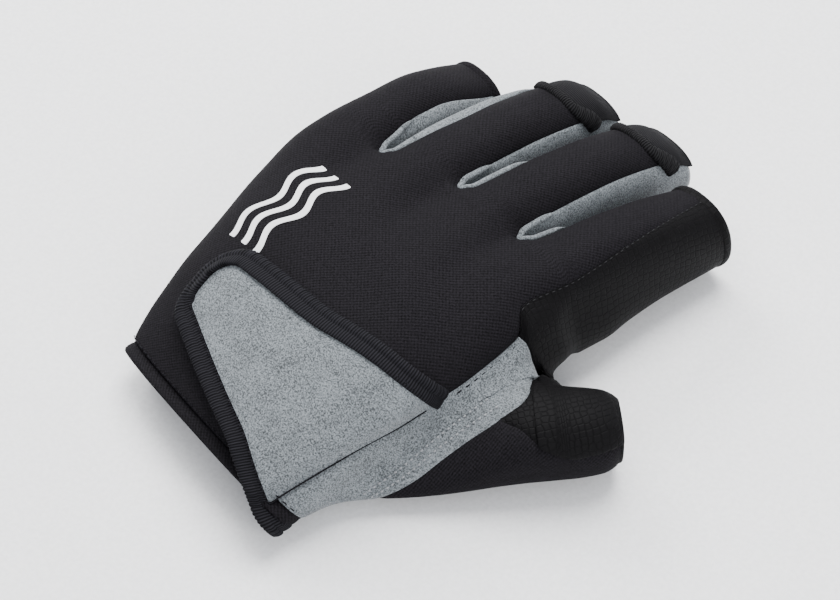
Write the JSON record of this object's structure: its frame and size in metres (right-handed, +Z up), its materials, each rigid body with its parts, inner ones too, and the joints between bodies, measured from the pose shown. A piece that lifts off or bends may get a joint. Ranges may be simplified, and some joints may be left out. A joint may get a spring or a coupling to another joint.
{
  "type": "sailing glove",
  "caption": "Short-finger sailing glove for the left hand: stretch back, suede side walls, grip palm, pull loops and a wrist strap that opens.",
  "frame": {"origin": "in the flat outer face of the palm grip patch, on which the glove rests", "axes": "+Y towards the fingertips, +X towards the thumb, +Z up out of the back of the hand"},
  "size_m": [0.1306, 0.1625, 0.0388],
  "materials": {
    "stretch_black": "four-way stretch, fine diagonal weave",
    "suede_grey": "synthetic suede, short nap",
    "grip_black": "crackle-pattern grip print on synthetic suede",
    "binding_black": "ribbed binding tape with stitching",
    "knit_black": "thick rib knit",
    "webbing_black": "flat woven tape",
    "hook_tape": "hook tape",
    "loop_tape": "brushed loop tape",
    "print_white": "flat print",
    "elastic": "covered elastic",
    "label": "blank woven label",
    "lining": "smooth lining"
  },
  "bodies": {
    "hand": {"back_panel": "stretch_black", "crotch_gusset_little_ring": "suede_grey", "crotch_gusset_middle_index": "suede_grey", "crotch_gusset_ring_middle": "suede_grey", "loop_patch": "loop_tape", "palm_grip_patch": "grip_black", "palm_panel": "suede_grey", "printed_mark": "print_white", "side_panel": "suede_grey", "size_label": "label", "strap_anchor": "suede_grey", "strap_anchor_binding": "binding_black", "thumb_root_panel": "stretch_black", "wrist_elastic": "elastic", "wrist_hem": "binding_black"},
    "strap": {"hook_patch": "hook_tape", "strap_binding": "binding_black", "strap_face": "suede_grey", "strap_lining": "lining"},
    "index_finger": {"index_back": "stretch_black", "index_end_hem": "binding_black", "index_fourchette_ulnar": "suede_grey", "index_grip": "grip_black"},
    "little_finger": {"little_back": "stretch_black", "little_end_hem": "binding_black", "little_fourchette_radial": "suede_grey", "little_grip": "grip_black"},
    "middle_finger": {"middle_back": "stretch_black", "middle_fourchette_radial": "suede_grey", "middle_fourchette_ulnar": "suede_grey", "middle_grip": "grip_black", "middle_knit_band": "knit_black", "middle_pull_loop": "webbing_black"},
    "ring_finger": {"ring_back": "stretch_black", "ring_fourchette_radial": "suede_grey", "ring_fourchette_ulnar": "suede_grey", "ring_grip": "grip_black", "ring_knit_band": "knit_black", "ring_pull_loop": "webbing_black"},
    "thumb": {"thumb_end_hem": "binding_black", "thumb_grip_wrap": "grip_black", "thumb_stretch_panel": "stretch_black"}
  },
  "joints": [
    {"name": "strap_open", "type": "hinge", "parent": "hand", "child": "strap", "pos_m": [0.029, -0.057, 0.0325], "axis": [0.032, 0.9857, 0.1652], "range_deg": [0, 150]},
    {"name": "little_flex", "type": "hinge", "parent": "hand", "child": "little_finger", "pos_m": [-0.0359, 0.04115, 0.0058], "axis": [-1, 0, 0], "range_deg": [0, 60]},
    {"name": "ring_flex", "type": "hinge", "parent": "hand", "child": "ring_finger", "pos_m": [-0.0123, 0.04115, 0.0058], "axis": [-1, 0, 0], "range_deg": [0, 60]},
    {"name": "middle_flex", "type": "hinge", "parent": "hand", "child": "middle_finger", "pos_m": [0.0113, 0.04115, 0.0058], "axis": [-1, 0, 0], "range_deg": [0, 60]},
    {"name": "index_flex", "type": "hinge", "parent": "hand", "child": "index_finger", "pos_m": [0.0354, 0.04115, 0.0058], "axis": [-1, 0, 0], "range_deg": [0, 60]},
    {"name": "thumb_flex", "type": "hinge", "parent": "hand", "child": "thumb", "pos_m": [0.05869, -0.00002, 0.0008], "axis": [-0.809, 0.5878, 0], "range_deg": [0, 45]}
  ]
}
